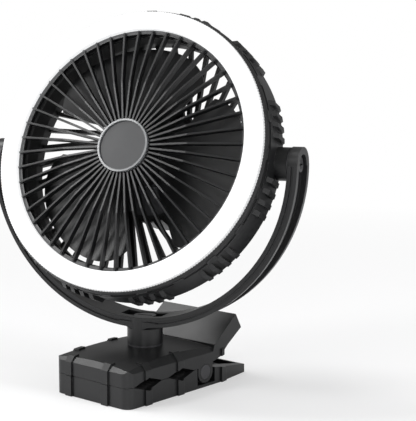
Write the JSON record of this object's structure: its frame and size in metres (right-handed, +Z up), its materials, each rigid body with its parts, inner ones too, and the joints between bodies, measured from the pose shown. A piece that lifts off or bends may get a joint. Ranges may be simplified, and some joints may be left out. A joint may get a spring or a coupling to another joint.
{
  "type": "portable camping fan",
  "caption": "Rechargeable clip-on camping fan: round grilled head with a light ring, in a tilting yoke that swivels on a spring clamp with a folding hanging hook.",
  "frame": {"origin": "where the vertical swivel axis meets the flat bottom of the clamp", "axes": "+Z up; the clamp's mouth and, at zero swivel, the fan face -Y; +X is the fan's left as it faces you"},
  "size_m": [0.2478, 0.1527, 0.2825],
  "materials": {
    "housing": "fine matte moulded texture with a soft sheen",
    "yoke_plastic": "fine matte moulded texture",
    "grille_plastic": "smooth satin",
    "cap_face": "smooth satin, bare",
    "blade_plastic": "semi-gloss moulded",
    "diffuser": "milky, lit from inside",
    "grip_rubber": "matte ribbed rubber",
    "steel": "plated",
    "hook_plastic": "semi-gloss",
    "washer_plastic": "plain",
    "hub_plastic": "fine matte moulded texture",
    "button_plastic": "soft touch",
    "lens": "clear, milky",
    "circuit_board": "green solder mask",
    "cell_wrap": "plain blue shrink wrap"
  },
  "bodies": {
    "base": {"lower_jaw": "housing", "lower_grip_pad": "grip_rubber", "clamp_pin": "steel", "clamp_spring": "steel", "hook_pin": "steel"},
    "upper_clamp": {"upper_jaw": "housing", "upper_grip_pad": "grip_rubber", "swivel_bolt": "steel", "swivel_nut": "steel", "swivel_washer": "washer_plastic"},
    "yoke_arm": {"yoke": "yoke_plastic"},
    "head": {"drum_shell": "housing", "front_bezel": "housing", "led_diffuser": "diffuser", "led_board": "circuit_board", "front_grille": "grille_plastic", "cap_ring": "grille_plastic", "cap_disc": "cap_face", "inner_duct": "grille_plastic", "rear_grille": "grille_plastic", "hub_housing": "hub_plastic", "motor_body": "steel", "motor_mount": "washer_plastic", "indicator_lens": "lens", "control_board": "circuit_board", "hub_screws": "steel", "charge_socket": "steel", "battery_cells": "cell_wrap", "pivot_screws": "steel", "pivot_washers": "washer_plastic"},
    "rotor": {"fan_rotor": "blade_plastic", "rotor_nut": "blade_plastic", "motor_shaft": "steel"},
    "hanging_hook": {"hook": "hook_plastic"},
    "speed_key": {"speed_button": "button_plastic"},
    "light_key": {"light_button": "button_plastic"},
    "flap": {"port_cover": "grip_rubber"}
  },
  "joints": [
    {"name": "jaw_open", "type": "hinge", "parent": "base", "child": "upper_clamp", "pos_m": [0, 0.0261, 0.0115], "axis": [-1, 0, 0], "range_deg": [0, 24], "stiffness_Nm_per_rad": 2.5, "springref_deg": -40.11, "deforming": ["clamp_spring"]},
    {"name": "yoke_swivel", "type": "hinge", "parent": "upper_clamp", "child": "yoke_arm", "pos_m": [0, 0, 0.04], "axis": [0, 0, 1], "continuous": true},
    {"name": "head_tilt", "type": "hinge", "parent": "yoke_arm", "child": "head", "pos_m": [0, 0, 0.1728], "axis": [-0.9568, -0.2907, 0], "range_deg": [-110.4, 69.6]},
    {"name": "rotor_spin", "type": "hinge", "parent": "head", "child": "rotor", "pos_m": [0, 0, 0.1728], "axis": [0.2725, -0.8968, 0.3486], "continuous": true},
    {"name": "hook_fold", "type": "hinge", "parent": "base", "child": "hanging_hook", "pos_m": [0, -0.0055, 0.0031], "axis": [1, 0, 0], "range_deg": [0, 90]},
    {"name": "speed_press", "type": "slide", "parent": "head", "child": "speed_key", "axis": [0.2725, -0.8968, 0.3486], "range_m": [0, 0.001], "stiffness_N_per_m": 400},
    {"name": "light_press", "type": "slide", "parent": "head", "child": "light_key", "axis": [0.2725, -0.8968, 0.3486], "range_m": [0, 0.001], "stiffness_N_per_m": 400},
    {"name": "flap_open", "type": "hinge", "parent": "head", "child": "flap", "pos_m": [-0.01348, 0.04436, 0.13006], "axis": [-0.9568, -0.2907, 0], "range_deg": [0, 100]}
  ]
}
